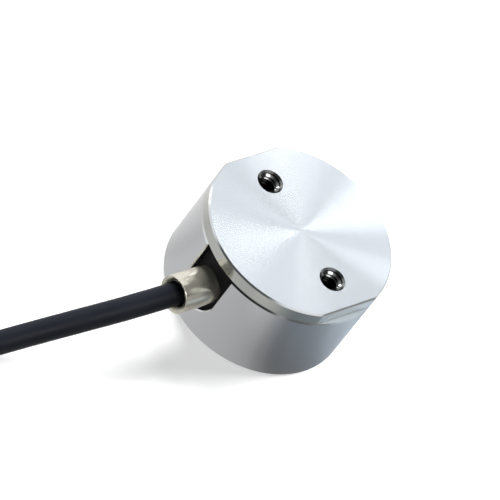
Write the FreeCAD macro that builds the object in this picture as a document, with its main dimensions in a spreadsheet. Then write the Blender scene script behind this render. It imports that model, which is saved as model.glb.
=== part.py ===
"""Miniature column load cell: a turned spring element in a slotted housing, with its gland and cable.

The axis of the column is +Z and the origin is the centre of the base face. The two tapped holes of the
load plate lie on X, and the cable leaves the housing along -Y.
"""
import FreeCAD
import Part
import Sketcher
import math
import os

from FreeCAD import Placement, Rotation, Vector

# Driving dimensions in millimetres, and a few counts and angles
SIZES = {
    # Spring element: load plate, boss, gauge column and foot
    "body_diameter": 25.0,
    "body_height": 14.0,
    "plate_thickness": 1.9,
    "plate_across_flats": 23.5,
    "boss_depth": 1.7,
    "boss_clearance": 0.3,
    "foot_depth": 3.4,
    "foot_fit": 0.02,
    "gauge_space": 5.3,
    "face_depth": 1.2,
    "column_root": 0.7,
    "face_margin": 0.8,
    "edge_break": 0.2,
    # Tapped holes in the plate and in the foot
    "hole_spacing": 15.0,
    "thread_diameter": 3.0,
    "thread_mouth": 3.5,
    "plate_thread_depth": 3.0,
    "foot_thread_depth": 2.8,
    # Housing sleeve and its slot
    "slit_width": 0.15,
    "sleeve_wall": 2.0,
    "sleeve_lift": 0.15,
    "slot_width": 5.7,
    "slot_drop": 0.7,
    # Cable gland
    "gland_diameter": 4.9,
    "gland_bore": 3.9,
    "gland_projection": 4.4,
    "gland_lip_bore": 3.3,
    "collar_gap": 0.2,
    "collar_width": 0.8,
    "collar_clearance": 0.05,
    "mouth_lip": 1.0,
    "mouth_dish": 0.42,
    "rim_break": 0.1,
    "grommet_fit": 0.02,
    "cable_fit": 0.03,
    "crimp_diameter": 4.6,
    "crimp_width": 1.2,
    # Seals
    "seal_height": 1.0,
    "seal_setback": 0.4,
    "seal_fit": 0.02,
    "sealant_setback": 0.9,
    "sealant_fit": 0.02,
    # Strain gauges
    "gauge_width": 4.2,
    "gauge_margin": 0.4,
    "gauge_thickness": 0.12,
    "foil_thickness": 0.05,
    "grid_bar_width": 0.22,
    "grid_pitch": 0.42,
    "grid_bars": 7,
    "grid_gap": 0.35,
    "tab_size": 0.9,
    "tab_spacing": 2.4,
    "tab_margin": 0.25,
    # Terminal board, resistors and wires inside
    "board_clearance": 0.2,
    "board_gap": 0.1,
    "board_thickness": 0.6,
    "chip_length": 1.8,
    "chip_width": 1.0,
    "chip_height": 0.55,
    "chip_count": 3,
    "chip_angle": 32.0,
    "gauge_lead_diameter": 0.16,
    "core_diameter": 0.7,
    "core_offset": 0.45,
    "core_straight": 1.1,
    "core_clearance": 0.3,
    # Cable, coil and tie
    "cable_diameter": 3.0,
    "jacket_overrun": 0.2,
    "exit_straight": 3.6,
    "run_end_gap": 0.75,
    "run_end_angle": 71.8,
    "run_end_height": 1.6,
    "coil_x": -8.5,
    "coil_y": -73.3,
    "coil_radius": 15.0,
    "coil_pitch": 3.05,
    "coil_columns": 4,
    "coil_layers": 6,
    "coil_rounding": 1.35,
    "tie_thickness": 0.7,
    "tie_width": 3.0,
    "tie_clearance": 0.02,
    "tie_head_length": 4.4,
    "tie_head_depth": 2.4,
    "tie_head_rounding": 0.5,
    "tie_end_length": 0.8,
    "tie_angle": 130.0,
    # Stripped end of the cable, on top of the coil
    "tail_start_angle": 295.0,
    "tail_turn": 60.0,
    "shrink_diameter": 3.7,
    "shrink_length": 6.0,
    "lead_bundle": 0.68,
    "lead_row_height": 0.5,
    "lead_spread": 1.5,
    "lead_straight": 1.5,
    "lead_first_angle": 24.0,
    "lead_step_angle": 15.0,
    "lead_steps": 4,
}

# Points of the cable between the gland and the coil, each x, y and height of its centre
CABLE_ROUTE = [(-2.1, -33.6, 3.7), (-3.4, -44.6, 1.65)]
# Share of the shorter run that a rounded corner takes from it
ROUND_SHARE = 0.45
PICK_TOLERANCE = 0.01
COUNTERSINK_ANGLE = 90
CORE_LANDINGS = {"core_red": 58.0, "core_green": 36.0, "core_black": -58.0, "core_white": -36.0}
LEAD_NAMES = ["lead_red", "lead_green", "lead_shield", "lead_white", "lead_black"]

doc = FreeCAD.newDocument("load_cell")
sub_parts = []


def number(term):
    """The number of a size, or the number itself."""
    return term.value if isinstance(term, Size) else term


def words(term):
    """The expression of a size, or a plain number as text."""
    return term.text if isinstance(term, Size) else repr(term)


class Size:
    """A length that carries its number and the expression that gives it from the sheet."""

    def __init__(self, value, text):
        self.value = value
        self.text = text

    def __add__(self, other):
        return Size(self.value + number(other), f"({self.text} + {words(other)})")

    def __sub__(self, other):
        return Size(self.value - number(other), f"({self.text} - {words(other)})")

    def __mul__(self, other):
        return Size(self.value * number(other), f"({self.text} * {words(other)})")

    def __truediv__(self, other):
        return Size(self.value / number(other), f"({self.text} / {words(other)})")

    def __neg__(self):
        return Size(-self.value, f"(-1 * {self.text})")


def root(size):
    """Square root of a size."""
    return Size(math.sqrt(size.value), f"sqrt({size.text})")


def chord_height(radius, half_width):
    """Distance from a circle's centre to a chord of that half width."""
    return root(radius * radius - half_width * half_width)


class Sheet:
    """The spreadsheet of driving dimensions, each read by its alias."""

    def __init__(self, sizes):
        self.sizes = sizes
        self.table = doc.addObject("Spreadsheet::Sheet", "dims")
        for row, (alias, value) in enumerate(sizes.items(), start=1):
            self.table.set(f"A{row}", alias.replace("_", " "))
            self.table.set(f"B{row}", str(value))
            self.table.setAlias(f"B{row}", alias)
        doc.recompute()

    def __getattr__(self, alias):
        return Size(self.sizes[alias], f"dims.{alias}")


dims = Sheet(SIZES)

# Sizes that several pieces share
body_radius = dims.body_diameter / 2
bore_radius = body_radius - dims.sleeve_wall
plate_bottom = dims.body_height - dims.plate_thickness
boss_bottom = plate_bottom - dims.boss_depth
boss_radius = bore_radius - dims.boss_clearance
sleeve_top = plate_bottom - dims.slit_width
column_radius = bore_radius - dims.gauge_space
face_distance = column_radius - dims.face_depth
column_length = boss_bottom - dims.foot_depth
column_middle = dims.foot_depth + column_length / 2
gauge_height = column_length - (dims.face_margin + dims.gauge_margin) * 2
gauge_low = column_middle - gauge_height / 2
gland_height = column_middle
slot_centre = gland_height - dims.slot_drop
gland_radius = dims.gland_diameter / 2
collar_radius = column_length / 2 - dims.collar_gap
collar_face = chord_height(bore_radius, collar_radius) - dims.collar_clearance
collar_back = collar_face - dims.collar_width
gland_mouth = body_radius + dims.gland_projection
mouth_back = gland_mouth - dims.mouth_lip
cable_radius = dims.cable_diameter / 2
crimp_back = collar_back - dims.crimp_width
jacket_end = crimp_back - dims.jacket_overrun
board_top = dims.foot_depth + dims.board_thickness
board_inner = column_radius + dims.column_root + dims.board_clearance
board_outer = jacket_end - dims.board_gap
board_middle = (board_inner + board_outer) / 2
coil_half_width = dims.coil_pitch * (dims.coil_columns - 1) / 2 + cable_radius
coil_height = dims.coil_pitch * (dims.coil_layers - 1) + dims.cable_diameter
coil_top = dims.tie_thickness + dims.tie_clearance + coil_height


def bind(item, name, size):
    """Ties a property of an object to the sheet."""
    item.setExpression(name, words(size))


def keep(item, label):
    """Names a finished sub-part and lists it for writing."""
    item.Label = label
    sub_parts.append(item)
    return item


def new_body(label):
    """An empty body, listed as a sub-part."""
    return keep(doc.addObject("PartDesign::Body", label), label)


def origin_feature(body, role):
    """A plane or axis of a body's own origin, by its role."""
    return next(item for item in body.Origin.OriginFeatures if item.Role == role)


def new_sketch(body, role, name, level=None):
    """A sketch on one of the body's origin planes, raised to a level along the plane's normal."""
    sketch = body.newObject("Sketcher::SketchObject", name)
    sketch.AttachmentSupport = [(origin_feature(body, role), "")]
    sketch.MapMode = "FlatFace"
    if level is not None:
        bind(sketch, "AttachmentOffset.Base.z", level)
    return sketch


def hold_point(sketch, geometry, position, x, y):
    """Holds a point of a sketch at two signed sizes from the sketch's origin."""
    for kind, size, axis in (("DistanceX", x, -2), ("DistanceY", y, -1)):
        if number(size) == 0:
            sketch.addConstraint(Sketcher.Constraint("PointOnObject", geometry, position, axis))
        else:
            row = sketch.addConstraint(Sketcher.Constraint(kind, -1, 1, geometry, position, number(size)))
            sketch.setExpression(f"Constraints[{row}]", words(size))


def draw_outline(sketch, corners):
    """Adds a closed outline of straight lines, with each corner held at its sizes."""
    first = sketch.GeometryCount
    count = len(corners)
    places = [Vector(number(x), number(y), 0) for x, y in corners]
    for i in range(count):
        sketch.addGeometry(Part.LineSegment(places[i], places[(i + 1) % count]), False)
    for i in range(count):
        sketch.addConstraint(Sketcher.Constraint("Coincident", first + i, 2, first + (i + 1) % count, 1))
    for i, (x, y) in enumerate(corners):
        hold_point(sketch, first + i, 1, x, y)


def draw_circle(sketch, x, y, radius):
    """Adds a circle whose centre and radius are held at their sizes."""
    place = Vector(number(x), number(y), 0)
    circle = sketch.addGeometry(Part.Circle(place, Vector(0, 0, 1), number(radius)), False)
    hold_point(sketch, circle, 3, x, y)
    row = sketch.addConstraint(Sketcher.Constraint("Radius", circle, number(radius)))
    sketch.setExpression(f"Constraints[{row}]", words(radius))


def rectangle(left, right, bottom, top):
    """Corners of an upright rectangle."""
    return [(left, bottom), (right, bottom), (right, top), (left, top)]


def revolve(body, corners):
    """Turns an outline of radius and height about the body's Z axis."""
    sketch = new_sketch(body, "XZ_Plane", body.Name + "_profile")
    draw_outline(sketch, corners)
    feature = body.newObject("PartDesign::Revolution", body.Name + "_turned")
    feature.Profile = sketch
    feature.ReferenceAxis = (sketch, ["V_Axis"])
    feature.Angle = 360
    doc.recompute()
    return feature


def pad(body, sketch, length):
    """Raises a sketch by a length along its normal."""
    feature = body.newObject("PartDesign::Pad", sketch.Name + "_pad")
    feature.Profile = sketch
    bind(feature, "Length", length)
    doc.recompute()
    return feature


def pocket(body, sketch, depth=None, reverse=False, both_ways=False):
    """Cuts a sketch to a depth, or through everything where no depth is given."""
    feature = body.newObject("PartDesign::Pocket", sketch.Name + "_cut")
    feature.Profile = sketch
    feature.Reversed = reverse
    feature.Midplane = both_ways
    if depth is None:
        feature.Type = "ThroughAll"
    else:
        bind(feature, "Length", depth)
    doc.recompute()
    return feature


def polar_pattern(body, feature, count):
    """Repeats a feature evenly round the body's Z axis."""
    pattern = body.newObject("PartDesign::PolarPattern", feature.Name + "_round")
    pattern.Originals = [feature]
    pattern.Axis = (origin_feature(body, "Z_Axis"), [""])
    pattern.Angle = 360
    pattern.Occurrences = count
    body.Tip = pattern
    doc.recompute()
    return pattern


def edges_where(feature, test):
    """Names of the edges of a feature whose middle point and curve pass a test."""
    names = []
    for i, edge in enumerate(feature.Shape.Edges, start=1):
        middle = edge.valueAt((edge.FirstParameter + edge.LastParameter) / 2)
        if test(middle, edge):
            names.append(f"Edge{i}")
    return names


def dress_edges(body, kind, feature, names, size):
    """Rounds or chamfers named edges of a feature."""
    dressing = body.newObject(f"PartDesign::{kind}", f"{feature.Name}_{kind.lower()}")
    dressing.Base = (feature, names)
    bind(dressing, "Radius" if kind == "Fillet" else "Size", size)
    doc.recompute()
    return dressing


def near(a, b):
    """True where two lengths agree within the tolerance for picking edges."""
    return abs(a - b) < PICK_TOLERANCE


def tapped_holes(body, name, level, depth, upward):
    """Two tapped holes on the X axis, drilled to the thread's outer diameter, with a countersunk mouth."""
    sketch = new_sketch(body, "XY_Plane", name, level)
    for side in (dims.hole_spacing / 2, -dims.hole_spacing / 2):
        draw_circle(sketch, side, 0, dims.thread_diameter / 2)
    doc.recompute()
    holes = body.newObject("PartDesign::Hole", name + "_drilled")
    holes.Profile = sketch
    doc.recompute()
    holes.Reversed = upward
    holes.DepthType = "Dimension"
    holes.DrillPoint = "Flat"
    holes.HoleCutType = "Countersink"
    bind(holes, "Diameter", dims.thread_diameter)
    bind(holes, "Depth", depth)
    bind(holes, "HoleCutDiameter", dims.thread_mouth)
    holes.HoleCutCountersinkAngle = COUNTERSINK_ANGLE
    doc.recompute()
    return holes


def spring_element():
    """Load plate, boss, gauge column and foot, turned and milled from one bar."""
    body = new_body("spring_element")
    foot_radius = bore_radius - dims.foot_fit
    broken = dims.edge_break
    turned = revolve(
        body,
        [
            (0, 0),
            (foot_radius - broken, 0),
            (foot_radius, broken),
            (foot_radius, dims.foot_depth),
            (column_radius, dims.foot_depth),
            (column_radius, boss_bottom),
            (boss_radius, boss_bottom),
            (boss_radius, plate_bottom),
            (body_radius - broken, plate_bottom),
            (body_radius, plate_bottom + broken),
            (body_radius, dims.body_height - broken),
            (body_radius - broken, dims.body_height),
            (0, dims.body_height),
        ],
    )
    ends = (dims.foot_depth.value, boss_bottom.value)
    roots = edges_where(
        turned,
        lambda middle, edge: near(math.hypot(middle.x, middle.y), column_radius.value)
        and any(near(middle.z, end) for end in ends),
    )
    dress_edges(body, "Fillet", turned, roots, dims.column_root)
    faces = new_sketch(body, "XZ_Plane", "column_faces")
    low = dims.foot_depth + dims.face_margin
    high = boss_bottom - dims.face_margin
    draw_outline(faces, rectangle(face_distance, boss_radius, low, high))
    polar_pattern(body, pocket(body, faces, both_ways=True), 4)
    flats = new_sketch(body, "XY_Plane", "plate_flats", dims.body_height)
    flat = dims.plate_across_flats / 2
    draw_outline(flats, rectangle(flat, dims.body_diameter, -dims.body_diameter, dims.body_diameter))
    polar_pattern(body, pocket(body, flats, dims.plate_thickness), 2)
    tapped_holes(body, "plate_holes", dims.body_height, dims.plate_thread_depth, upward=False)
    tapped_holes(body, "foot_holes", None, dims.foot_thread_depth, upward=True)
    return body


def housing_sleeve():
    """Polished sleeve round the foot, clear of the plate and of the base, with a round-ended slot."""
    body = new_body("housing_sleeve")
    broken = dims.edge_break
    revolve(
        body,
        [
            (bore_radius, dims.sleeve_lift),
            (body_radius - broken, dims.sleeve_lift),
            (body_radius, dims.sleeve_lift + broken),
            (body_radius, sleeve_top - broken),
            (body_radius - broken, sleeve_top),
            (bore_radius, sleeve_top),
        ],
    )
    slot = slot_sketch(body, "cable_slot", dims.slot_width / 2, dims.body_height)
    cut = pocket(body, slot, reverse=True)
    outer = edges_where(
        cut,
        lambda middle, edge: near(math.hypot(middle.x, middle.y), body_radius.value)
        and middle.y < 0
        and not isinstance(edge.Curve, Part.Circle),
    )
    dress_edges(body, "Chamfer", cut, outer, broken)
    return body


def slot_sketch(body, name, half_width, top):
    """Outline of the slot seen along Y: two straight sides and a round lower end."""
    sketch = new_sketch(body, "XZ_Plane", name)
    half = half_width.value
    low = slot_centre.value
    high = top.value
    centre = Vector(0, low, 0)
    lines = [
        Part.LineSegment(Vector(half, low, 0), Vector(half, high, 0)),
        Part.LineSegment(Vector(half, high, 0), Vector(-half, high, 0)),
        Part.LineSegment(Vector(-half, high, 0), Vector(-half, low, 0)),
    ]
    for line in lines:
        sketch.addGeometry(line, False)
    circle = Part.Circle(centre, Vector(0, 0, 1), half)
    sketch.addGeometry(Part.ArcOfCircle(circle, math.pi, 2 * math.pi), False)
    for a, b in ((0, 1), (1, 2)):
        sketch.addConstraint(Sketcher.Constraint("Coincident", a, 2, b, 1))
    sketch.addConstraint(Sketcher.Constraint("Coincident", 2, 2, 3, 1))
    sketch.addConstraint(Sketcher.Constraint("Coincident", 3, 2, 0, 1))
    hold_point(sketch, 3, 3, 0, slot_centre)
    hold_point(sketch, 0, 1, half_width, slot_centre)
    hold_point(sketch, 0, 2, half_width, top)
    hold_point(sketch, 1, 2, -half_width, top)
    sketch.addConstraint(Sketcher.Constraint("Horizontal", 3, 1, 3, 3))
    return sketch


def turned_piece(label, corners):
    """A piece turned about Z from an outline of radius and height."""
    body = new_body(label)
    revolve(body, corners)
    return body


def on_gland_axis(body):
    """Lays a piece turned about Z along the gland, so that its height runs outward along -Y."""
    body.Placement = Placement(Vector(0, 0, 0), Rotation(Vector(1, 0, 0), 90))
    bind(body, "Placement.Base.z", gland_height)
    return body


def gland_sleeve():
    """Gland with a collar behind the housing wall and a lip at each end of the grommet, the outer one dished."""
    lip = dims.gland_lip_bore / 2
    bore = dims.gland_bore / 2
    rim = dims.rim_break
    body = turned_piece(
        "gland_sleeve",
        [
            (lip, collar_back),
            (collar_radius, collar_back),
            (collar_radius, collar_face),
            (gland_radius, collar_face),
            (gland_radius, gland_mouth - rim),
            (gland_radius - rim, gland_mouth),
            (lip, gland_mouth - dims.mouth_dish),
            (lip, mouth_back),
            (bore, mouth_back),
            (bore, collar_face),
            (lip, collar_face),
        ],
    )
    return on_gland_axis(body)


def bush(label, inner, outer, back, front):
    """A plain ring on the gland's axis."""
    return on_gland_axis(turned_piece(label, rectangle(inner, outer, back, front)))


def gland_grommet():
    """Rubber bush between the gland's bore and the cable, held between the two lips."""
    inner = cable_radius + dims.cable_fit
    outer = dims.gland_bore / 2 - dims.grommet_fit
    return bush("gland_grommet", inner, outer, collar_face, mouth_back)


def crimp_ring():
    """Ring crimped on the jacket, which bears on the back of the gland's collar."""
    inner = cable_radius + dims.cable_fit
    return bush("crimp_ring", inner, dims.crimp_diameter / 2, crimp_back, collar_back)


def dust_seal():
    """Soft ring in the gap between the boss and the housing."""
    low = boss_bottom + dims.seal_setback
    inner = boss_radius + dims.seal_fit
    outer = bore_radius - dims.seal_fit
    return turned_piece("dust_seal", rectangle(inner, outer, low, low + dims.seal_height))


def solid_cylinder(name, radius, height):
    """A cylinder bound to the sheet."""
    cylinder = doc.addObject("Part::Cylinder", name)
    bind(cylinder, "Radius", radius)
    bind(cylinder, "Height", height)
    return cylinder


def cut_away(name, base, tool):
    """One solid with another taken out of it."""
    cut = doc.addObject("Part::Cut", name)
    cut.Base = base
    cut.Tool = tool
    return cut


def slot_sealant():
    """Curved plug that fills the slot behind the housing's face, round the gland."""
    half = dims.slot_width / 2 - dims.sealant_fit
    outer = solid_cylinder("sealant_outer", body_radius - dims.sealant_setback, sleeve_top)
    inner = solid_cylinder("sealant_inner", bore_radius + dims.sealant_fit, sleeve_top)
    ring = cut_away("sealant_ring", outer, inner)
    column = doc.addObject("Part::Box", "sealant_column")
    bind(column, "Length", half * 2)
    bind(column, "Width", body_radius)
    bind(column, "Height", sleeve_top - dims.seal_setback - slot_centre)
    bind(column, "Placement.Base.x", -half)
    bind(column, "Placement.Base.y", -body_radius)
    bind(column, "Placement.Base.z", slot_centre)
    along_gland = Placement(Vector(0, 0, 0), Rotation(Vector(1, 0, 0), 90))
    bottom = solid_cylinder("sealant_bottom", half, body_radius)
    bottom.Placement = along_gland
    bind(bottom, "Placement.Base.z", slot_centre)
    prism = doc.addObject("Part::Fuse", "sealant_prism")
    prism.Base = column
    prism.Tool = bottom
    plug = doc.addObject("Part::Common", "sealant_plug")
    plug.Base = ring
    plug.Tool = prism
    gland = solid_cylinder("sealant_gland", gland_radius + dims.sealant_fit, body_radius)
    gland.Placement = along_gland
    bind(gland, "Placement.Base.z", gland_height)
    keep(cut_away("slot_sealant", plug, gland), "slot_sealant")


def strain_gauge(index):
    """Foil gauge on one face of the column: backing, grid of bars and two solder tabs."""
    body = new_body(f"strain_gauge_{index}")
    half_width = dims.gauge_width / 2
    high = gauge_low + gauge_height
    backing = new_sketch(body, "YZ_Plane", f"backing_{index}", face_distance)
    draw_outline(backing, rectangle(-half_width, half_width, gauge_low, high))
    pad(body, backing, dims.gauge_thickness)
    foil_level = face_distance + dims.gauge_thickness
    grid_span = dims.grid_pitch * (dims.grid_bars - 1)
    tab_low = gauge_low + dims.tab_margin
    bar_low = tab_low + dims.tab_size + dims.grid_gap
    bar = new_sketch(body, "YZ_Plane", f"grid_bar_{index}", foil_level)
    left = -(grid_span + dims.grid_bar_width) / 2
    draw_outline(bar, rectangle(left, left + dims.grid_bar_width, bar_low, high - dims.tab_margin))
    first_bar = pad(body, bar, dims.foil_thickness)
    bars = body.newObject("PartDesign::LinearPattern", f"grid_{index}")
    bars.Originals = [first_bar]
    bars.Direction = (bar, ["H_Axis"])
    bind(bars, "Length", grid_span)
    bind(bars, "Occurrences", dims.grid_bars)
    body.Tip = bars
    doc.recompute()
    tabs = new_sketch(body, "YZ_Plane", f"tabs_{index}", foil_level)
    for side in (-1, 1):
        middle = dims.tab_spacing / 2 * side
        half_tab = dims.tab_size / 2
        outline = rectangle(middle - half_tab, middle + half_tab, tab_low, tab_low + dims.tab_size)
        draw_outline(tabs, outline)
    pad(body, tabs, dims.foil_thickness)
    body.Placement = Placement(Vector(0, 0, 0), Rotation(Vector(0, 0, 1), 90 * (index - 1)))
    return body


def terminal_board():
    """Ring board that lies on the foot round the root of the column."""
    body = new_body("terminal_board")
    ring = new_sketch(body, "XY_Plane", "board_ring", dims.foot_depth)
    draw_circle(ring, 0, 0, board_inner)
    draw_circle(ring, 0, 0, board_outer)
    pad(body, ring, dims.board_thickness)
    return body


def trim_resistors():
    """Chip resistors on the half of the board away from the gland, in one group."""
    chips = []
    middle = (dims.chip_count.value - 1) / 2
    for i in range(int(dims.chip_count.value)):
        chip = doc.addObject("Part::Box", f"chip_{i + 1}")
        bind(chip, "Length", dims.chip_length)
        bind(chip, "Width", dims.chip_width)
        bind(chip, "Height", dims.chip_height)
        corner = Vector(-dims.chip_length.value / 2, board_middle.value - dims.chip_width.value / 2, 0)
        turn = Rotation(Vector(0, 0, 1), (i - middle) * dims.chip_angle.value)
        place = turn.multVec(corner) + Vector(0, 0, board_top.value)
        chip.Placement = Placement(place, turn)
        chips.append(chip)
    group = doc.addObject("Part::Compound", "trim_resistors")
    group.Links = chips
    keep(group, "trim_resistors")


def rounded_path(points):
    """A wire of straight runs joined by tangent arcs, with the radius of each arc."""
    edges = []
    radii = []
    start = points[0]
    for before, corner, after in zip(points, points[1:], points[2:]):
        back = before - corner
        ahead = after - corner
        turn = math.pi - back.getAngle(ahead)
        reach = ROUND_SHARE * min(back.Length, ahead.Length)
        radii.append(reach / math.tan(turn / 2))
        enter = corner + Vector(back).normalize() * reach
        leave = corner + Vector(ahead).normalize() * reach
        inward = (Vector(back).normalize() + Vector(ahead).normalize()).normalize()
        sagitta = radii[-1] * (1 / math.cos(turn / 2) - 1)
        edges.append(Part.LineSegment(start, enter).toShape())
        edges.append(Part.Arc(enter, corner + inward * sagitta, leave).toShape())
        start = leave
    edges.append(Part.LineSegment(start, points[-1]).toShape())
    return Part.Wire(edges), radii


def tube(points, radius):
    """A round solid along a rounded path, with its path's length and arc radii."""
    path, radii = rounded_path(points)
    first = points[1] - points[0]
    section = Part.Wire([Part.Circle(points[0], first, radius).toShape()])
    solid = path.makePipeShell([section], True, False)
    return solid, path.Length, radii


def shaped_part(label, shape):
    """A sub-part whose shape is made here from the sheet's sizes."""
    feature = doc.addObject("Part::Feature", label)
    feature.Shape = shape
    feature.Placement = Placement()
    return keep(feature, label)


def round_z(point, degrees):
    """A point turned about Z."""
    return Rotation(Vector(0, 0, 1), degrees).multVec(point)


def gauge_leads():
    """Fine wires from every solder tab down to the board, in one group."""
    radius = dims.gauge_lead_diameter.value / 2
    tab_face = face_distance.value + dims.gauge_thickness.value + dims.foil_thickness.value
    height = gauge_low.value + dims.tab_margin.value + dims.tab_size.value / 2
    out = board_middle.value
    wires = []
    for face in range(4):
        for side in (-1, 1):
            across = side * dims.tab_spacing.value / 2
            points = [
                Vector(tab_face, across, height),
                Vector(out, across, height),
                Vector(out, across, board_top.value),
            ]
            wires.append(tube([round_z(p, 90 * face) for p in points], radius)[0])
    shaped_part("gauge_leads", Part.makeCompound(wires))


def cable_cores():
    """The four insulated cores, from the end of the jacket to their places on the board."""
    radius = dims.core_diameter.value / 2
    offset = dims.core_offset.value
    middle = gland_height.value
    for label, angle in CORE_LANDINGS.items():
        side = math.copysign(1, angle)
        outer = abs(angle) == max(CORE_LANDINGS.values())
        level = middle + offset if outer else middle - offset
        landing = round_z(Vector(0, -board_middle.value, 0), angle)
        bend = level - dims.core_clearance.value
        points = [
            Vector(side * offset, -jacket_end.value, level),
            Vector(side * offset, -jacket_end.value + dims.core_straight.value, level),
            Vector(landing.x, landing.y, bend),
            Vector(landing.x, landing.y, board_top.value),
        ]
        shaped_part(label, tube(points, radius)[0])


def on_coil(radius, degrees, height):
    """A point over the coil, from its distance and angle about the coil's axis."""
    turned = round_z(Vector(radius, 0, 0), degrees)
    return turned + Vector(dims.coil_x.value, dims.coil_y.value, height)


def cable_run():
    """The cable from the end of its jacket, through the gland, down to the floor and up to its coil."""
    height = gland_height.value
    start = Vector(0, -jacket_end.value, height)
    leave = Vector(0, -gland_mouth.value - dims.exit_straight.value, height)
    wall = dims.coil_radius.value + coil_half_width.value
    end_radius = wall + dims.run_end_gap.value
    end = on_coil(end_radius, dims.run_end_angle.value, dims.run_end_height.value)
    points = [start, leave] + [Vector(*place) for place in CABLE_ROUTE] + [end]
    solid, length, radii = tube(points, cable_radius.value)
    section = math.pi * cable_radius.value ** 2
    print("cable_run radii", [round(radius, 1) for radius in radii])
    print("cable_run volume over section times length", round(solid.Volume / (section * length), 4))
    shaped_part("cable_run", solid)


def at_coil(body):
    """Moves a piece from the axis to the middle of the coil."""
    bind(body, "Placement.Base.x", dims.coil_x)
    bind(body, "Placement.Base.y", dims.coil_y)
    return body


def cable_coil():
    """Outer form of the coiled length, which lies on its ties."""
    body = new_body("cable_coil")
    low = dims.tie_thickness + dims.tie_clearance
    inner = dims.coil_radius - coil_half_width
    outer = dims.coil_radius + coil_half_width
    turned = revolve(body, rectangle(inner, outer, low, coil_top))
    rings = edges_where(turned, lambda middle, edge: isinstance(edge.Curve, Part.Circle))
    dress_edges(body, "Fillet", turned, rings, dims.coil_rounding)
    at_coil(body)


def strap_block(low, high, radius):
    """A block between two corners, with its four edges along Y rounded."""
    block = Part.makeBox(high.x - low.x, high.y - low.y, high.z - low.z, low)
    along = [edge for edge in block.Edges if edge.BoundBox.YLength > PICK_TOLERANCE]
    return block.makeFillet(radius, along)


def tie_lock(face, middle):
    """The lock of a tie on the strap's outer side, with the cut end of the strap that stands out of it."""
    depth = dims.tie_head_depth.value
    head = dims.tie_head_length.value
    block = Part.makeBox(depth, head, head, Vector(face, -head / 2, middle - head / 2))
    open_edges = [edge for edge in block.Edges if edge.BoundBox.XMax > face + PICK_TOLERANCE]
    lock = block.makeFillet(dims.tie_head_rounding.value, open_edges)
    thick = dims.tie_thickness.value
    wide = dims.tie_width.value
    reach = depth + dims.tie_end_length.value
    return lock.fuse(Part.makeBox(reach, wide, thick, Vector(face, -wide / 2, middle - thick / 2)))


def coil_ties():
    """Two flat ties that follow the rounded bundle of turns, each with its lock on the outside."""
    ties = []
    thick = dims.tie_thickness.value
    half_width = dims.tie_width.value / 2
    bend = dims.coil_rounding.value
    inner_wall = chord_height(dims.coil_radius - coil_half_width, dims.tie_width / 2)
    inner = inner_wall.value - dims.tie_clearance.value
    outer = dims.coil_radius.value + coil_half_width.value + dims.tie_clearance.value
    high = coil_top.value + dims.tie_clearance.value
    band_low = Vector(inner - thick, -half_width, 0)
    band_high = Vector(outer + thick, half_width, high + thick)
    for half_turn in (0, 180):
        band = strap_block(band_low, band_high, bend + thick)
        hole = strap_block(Vector(inner, -half_width, thick), Vector(outer, half_width, high), bend)
        tie = band.cut(hole).fuse(tie_lock(outer, high / 2)).removeSplitter()
        tie.rotate(Vector(0, 0, 0), Vector(0, 0, 1), dims.tie_angle.value + half_turn)
        tie.translate(Vector(dims.coil_x.value, dims.coil_y.value, 0))
        ties.append(tie)
    shaped_part("coil_ties", Part.makeCompound(ties))


def stripped_end():
    """The last stretch of the cable on top of the coil, its shrink sleeve and its five leads."""
    middle = dims.coil_radius.value
    level = coil_top.value + dims.shrink_diameter.value / 2 + dims.tie_clearance.value
    start = dims.tail_start_angle.value
    end = start - dims.tail_turn.value
    first = on_coil(middle, start, level)
    half_way = on_coil(middle, (start + end) / 2, level)
    last = on_coil(middle, end, level)
    forward = round_z(Vector(0, -1, 0), end)
    arc = Part.Arc(first, half_way, last).toShape()
    out_of_end = Part.Circle(first, round_z(Vector(0, -1, 0), start), cable_radius.value)
    tail = Part.Wire([arc]).makePipeShell([Part.Wire([out_of_end.toShape()])], True, False)
    shaped_part("cable_tail", tail)
    outer = dims.shrink_diameter.value / 2
    sleeve_length = dims.shrink_length.value
    sleeve = Part.makeCylinder(outer, sleeve_length, last, forward)
    shaped_part("tail_shrink", sleeve)
    mouth = last + forward * sleeve_length
    mouth_angle = end - math.degrees(math.atan2(sleeve_length, middle))
    across = round_z(Vector(1, 0, 0), end)
    lead_radius = dims.core_diameter.value / 2
    lead_level = coil_top.value + lead_radius + dims.tie_clearance.value
    middle_lead = (len(LEAD_NAMES) - 1) / 2
    for i, label in enumerate(LEAD_NAMES):
        place = i - middle_lead
        row = dims.lead_row_height.value * (1 if i % 2 else -1)
        begin = mouth + across * (place * dims.lead_bundle.value) + Vector(0, 0, row)
        points = [begin, begin + forward * dims.lead_straight.value]
        ring = middle + place * dims.lead_spread.value
        for step in range(int(dims.lead_steps.value)):
            degrees = mouth_angle - dims.lead_first_angle.value - step * dims.lead_step_angle.value
            points.append(on_coil(ring, degrees, lead_level))
        shaped_part(label, tube(points, lead_radius)[0])


def build():
    """Makes every sub-part in the order of assembly."""
    spring_element()
    for index in range(1, 5):
        strain_gauge(index)
    terminal_board()
    trim_resistors()
    gauge_leads()
    housing_sleeve()
    gland_sleeve()
    gland_grommet()
    crimp_ring()
    cable_cores()
    dust_seal()
    slot_sealant()
    cable_run()
    cable_coil()
    coil_ties()
    stripped_end()
    doc.recompute()


def check():
    """Stops where an object of the document failed or a sub-part has no sound shape."""
    for item in doc.Objects:
        if "Invalid" in item.State or "Error" in item.State:
            raise RuntimeError(f"{item.Label} failed: {item.State}")
    for part in sub_parts:
        if part.Shape.isNull() or not part.Shape.isValid() or part.Shape.Volume <= 0:
            raise RuntimeError(f"{part.Label} has no sound shape")


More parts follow.
